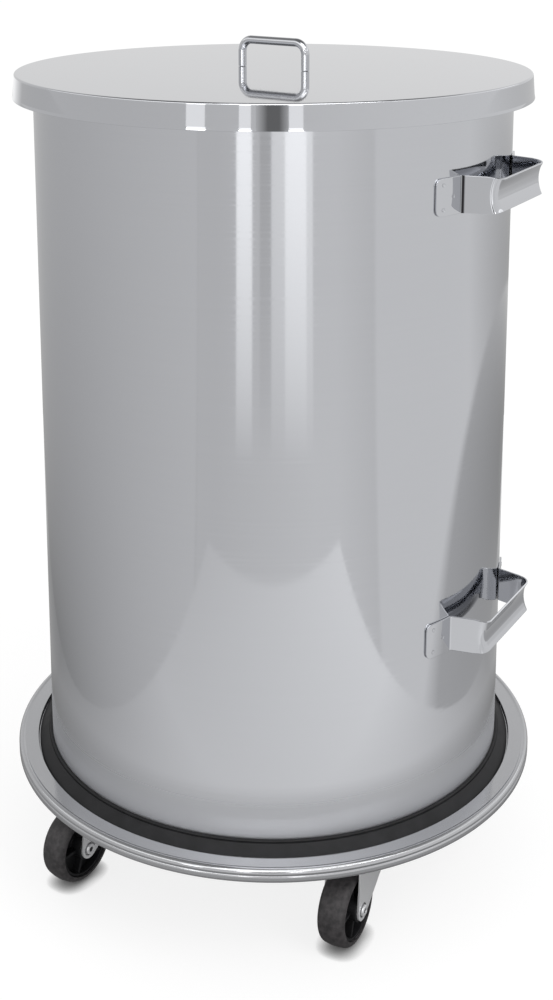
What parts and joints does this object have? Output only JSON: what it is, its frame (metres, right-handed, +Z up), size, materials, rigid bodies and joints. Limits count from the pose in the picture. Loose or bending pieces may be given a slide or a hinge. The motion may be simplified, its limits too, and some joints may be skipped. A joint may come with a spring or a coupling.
{
  "type": "wheeled waste bin",
  "caption": "Straight round stainless waste bin with a flat lift-off lid and strap handles on one side, standing loose in a round pressed dolly on swivel casters.",
  "frame": {"origin": "on the drum's axis, at floor level", "axes": "+Z up along the drum's axis; -Y towards the viewer of the picture, +X to that viewer's right"},
  "size_m": [0.46, 0.46, 0.7189],
  "materials": {
    "polished_steel": "polished",
    "satin_steel": "satin",
    "zinc_plate": "zinc plated",
    "black_rubber": "matt",
    "tyre_rubber": "matt",
    "hub_plastic": "matt"
  },
  "bodies": {
    "dolly": {"dolly_pan": "satin_steel", "caster_front_swivel_head": "zinc_plate", "caster_front_kingpin": "zinc_plate", "caster_front_kingpin_nut": "zinc_plate", "caster_right_swivel_head": "zinc_plate", "caster_right_kingpin": "zinc_plate", "caster_right_kingpin_nut": "zinc_plate", "caster_back_swivel_head": "zinc_plate", "caster_back_kingpin": "zinc_plate", "caster_back_kingpin_nut": "zinc_plate", "caster_left_swivel_head": "zinc_plate", "caster_left_kingpin": "zinc_plate", "caster_left_kingpin_nut": "zinc_plate"},
    "bin": {"drum_shell": "polished_steel", "drum_bottom": "polished_steel", "base_ring": "black_rubber", "upper_handle": "polished_steel", "lower_handle": "polished_steel"},
    "lid": {"lid_shell": "polished_steel", "lid_handle": "polished_steel", "lid_screw_near": "zinc_plate", "lid_screw_far": "zinc_plate", "lid_washer_near": "zinc_plate", "lid_washer_far": "zinc_plate"},
    "caster_front_fork": {"caster_front_fork": "zinc_plate", "caster_front_axle_rivet": "zinc_plate", "caster_front_axle_sleeve": "zinc_plate"},
    "caster_front_wheel": {"caster_front_wheel_hub": "hub_plastic", "caster_front_wheel_tyre": "tyre_rubber"},
    "caster_right_fork": {"caster_right_fork": "zinc_plate", "caster_right_axle_rivet": "zinc_plate", "caster_right_axle_sleeve": "zinc_plate"},
    "caster_right_wheel": {"caster_right_wheel_hub": "hub_plastic", "caster_right_wheel_tyre": "tyre_rubber"},
    "caster_back_fork": {"caster_back_fork": "zinc_plate", "caster_back_axle_rivet": "zinc_plate", "caster_back_axle_sleeve": "zinc_plate"},
    "caster_back_wheel": {"caster_back_wheel_hub": "hub_plastic", "caster_back_wheel_tyre": "tyre_rubber"},
    "caster_left_fork": {"caster_left_fork": "zinc_plate", "caster_left_axle_rivet": "zinc_plate", "caster_left_axle_sleeve": "zinc_plate"},
    "caster_left_wheel": {"caster_left_wheel_hub": "hub_plastic", "caster_left_wheel_tyre": "tyre_rubber"}
  },
  "joints": [
    {"name": "bin_lift", "type": "slide", "parent": "dolly", "child": "bin", "axis": [0, 0, 1], "range_m": [0, 0.15]},
    {"name": "bin_lid_lift", "type": "slide", "parent": "bin", "child": "lid", "axis": [0, 0, 1], "range_m": [0, 0.25]},
    {"name": "caster_front_swivel", "type": "hinge", "parent": "dolly", "child": "caster_front_fork", "pos_m": [0.07163, -0.15362, 0.0751], "axis": [0, 0, 1], "continuous": true},
    {"name": "caster_front_wheel_spin", "type": "hinge", "parent": "caster_front_fork", "child": "caster_front_wheel", "pos_m": [0.05849, -0.17834, 0.0321], "axis": [0.8829, -0.4695, 0], "continuous": true},
    {"name": "caster_right_swivel", "type": "hinge", "parent": "dolly", "child": "caster_right_fork", "pos_m": [0.15362, 0.07163, 0.0751], "axis": [0, 0, 1], "continuous": true},
    {"name": "caster_right_wheel_spin", "type": "hinge", "parent": "caster_right_fork", "child": "caster_right_wheel", "pos_m": [0.13837, 0.04815, 0.0321], "axis": [0.8387, -0.5446, 0], "continuous": true},
    {"name": "caster_back_swivel", "type": "hinge", "parent": "dolly", "child": "caster_back_fork", "pos_m": [-0.07163, 0.15362, 0.0751], "axis": [0, 0, 1], "continuous": true},
    {"name": "caster_back_wheel_spin", "type": "hinge", "parent": "caster_back_fork", "child": "caster_back_wheel", "pos_m": [-0.08606, 0.12962, 0.0321], "axis": [0.8572, -0.515, 0], "continuous": true},
    {"name": "caster_left_swivel", "type": "hinge", "parent": "dolly", "child": "caster_left_fork", "pos_m": [-0.15362, -0.07163, 0.0751], "axis": [0, 0, 1], "continuous": true},
    {"name": "caster_left_wheel_spin", "type": "hinge", "parent": "caster_left_fork", "child": "caster_left_wheel", "pos_m": [-0.17047, -0.094, 0.0321], "axis": [0.7986, -0.6018, 0], "continuous": true}
  ]
}
